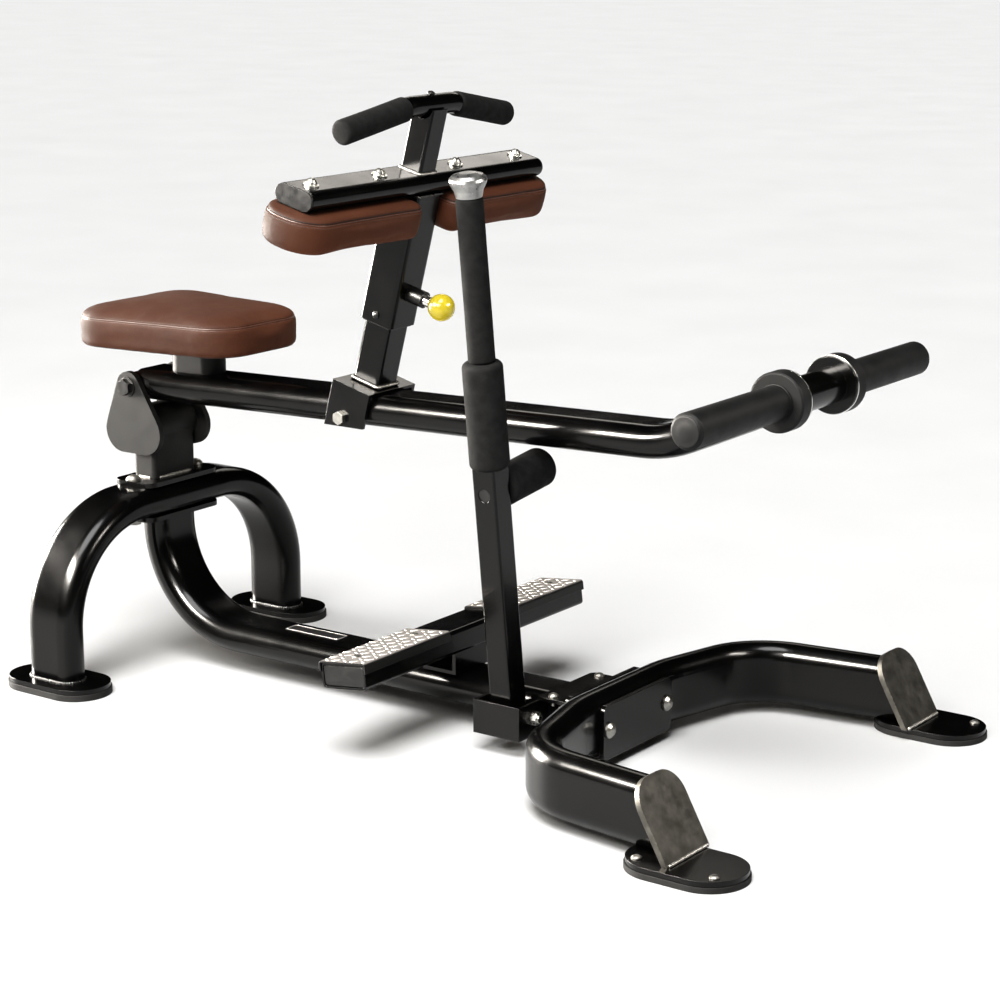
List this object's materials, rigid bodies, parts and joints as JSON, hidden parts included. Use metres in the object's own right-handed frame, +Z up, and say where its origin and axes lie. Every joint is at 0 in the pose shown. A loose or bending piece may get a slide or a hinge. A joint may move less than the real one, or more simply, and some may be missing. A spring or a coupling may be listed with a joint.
{
  "type": "seated calf raise machine",
  "caption": "Plate-loaded seated calf raise machine: padded seat and knee pads on a pivoting lever with weight horns, footrest, swing-out safety post.",
  "frame": {"origin": "floor level, middle of the machine's footprint", "axes": "+X forward towards the weight horns, +Y to the sitter's left, +Z up"},
  "size_m": [1.4289, 0.827, 0.9674],
  "materials": {
    "frame_paint": "gloss black powder coat",
    "satin_paint": "satin dark grey powder coat",
    "cap_paint": "metallic grey, faint mottle",
    "pad_vinyl": "dark chestnut upholstery vinyl, fine grain",
    "pad_board": "painted plywood backing",
    "grip_foam": "charcoal closed-cell foam",
    "horn_rubber": "dark charcoal moulded rubber",
    "foot_rubber": "black rubber",
    "knob_yellow": "gloss yellow",
    "barrel_black": "black nylon",
    "fastener_zinc": "bright zinc plate",
    "bright_steel": "polished",
    "bush_bronze": "sintered bronze",
    "tread_aluminium": "checker tread sheet",
    "badge": "blank satin badge"
  },
  "bodies": {
    "base": {"base_screws": "fastener_zinc", "arm_caps": "cap_paint", "clamp_plates": "frame_paint", "cheek_left": "satin_paint", "cheek_right": "satin_paint", "column": "satin_paint", "footrest_beam": "frame_paint", "footrest_bracket": "frame_paint", "frame_bolts": "fastener_zinc", "front_foot_plates": "frame_paint", "front_foot_rubbers": "foot_rubber", "front_frame": "frame_paint", "front_gusset": "frame_paint", "pivot_fasteners": "fastener_zinc", "rear_arch": "frame_paint", "rear_foot_plates": "frame_paint", "rear_foot_rubbers": "foot_rubber", "safety_box_walls": "frame_paint", "safety_fasteners": "fastener_zinc", "spine_plate": "badge", "spine_tube": "frame_paint", "tread_plates": "tread_aluminium", "tread_screws": "fastener_zinc"},
    "lever": {"horn_bar": "frame_paint", "horn_collars": "horn_rubber", "horn_washers": "bright_steel", "inner_post": "frame_paint", "lever_tube": "frame_paint", "pivot_bushes": "bush_bronze", "saddle_bracket": "frame_paint", "saddle_fasteners": "fastener_zinc", "seat_board": "pad_board", "seat_pad": "pad_vinyl", "seat_post": "satin_paint", "seat_screws": "fastener_zinc", "weight_sleeve_left": "horn_rubber", "weight_sleeve_right": "horn_rubber"},
    "pad_carriage": {"carriage_screws": "fastener_zinc", "cross_tube": "frame_paint", "cross_tube_caps": "barrel_black", "hand_grips": "grip_foam", "handle_bar": "frame_paint", "knee_boards": "pad_board", "knee_pad_bolts": "fastener_zinc", "knee_pad_left": "pad_vinyl", "knee_pad_right": "pad_vinyl", "outer_sleeve": "frame_paint", "plunger_barrel": "barrel_black", "sleeve_liners": "barrel_black", "upper_post": "frame_paint"},
    "plunger": {"plunger_pin": "bright_steel", "ball_knob": "knob_yellow"},
    "safety_lever": {"peg_foam": "grip_foam", "safety_bumper": "grip_foam", "safety_bush": "bush_bronze", "safety_cap": "bright_steel", "safety_grip": "grip_foam", "safety_peg": "bright_steel", "safety_post": "frame_paint"}
  },
  "joints": [
    {"name": "lever_pivot", "type": "hinge", "parent": "base", "child": "lever", "pos_m": [-0.64, 0, 0.46], "axis": [0, -1, 0], "range_deg": [0, 14]},
    {"name": "safety_swing", "type": "hinge", "parent": "base", "child": "safety_lever", "pos_m": [0.153, -0.088, 0.056], "axis": [1, 0, 0], "range_deg": [0, 12]},
    {"name": "pad_height", "type": "slide", "parent": "lever", "child": "pad_carriage", "axis": [0.2538, 0, 0.9673], "range_m": [-0.04, 0.08]},
    {"name": "plunger_pull", "type": "slide", "parent": "pad_carriage", "child": "plunger", "axis": [-0.9673, 0, 0.2538], "range_m": [0, 0.008]}
  ]
}
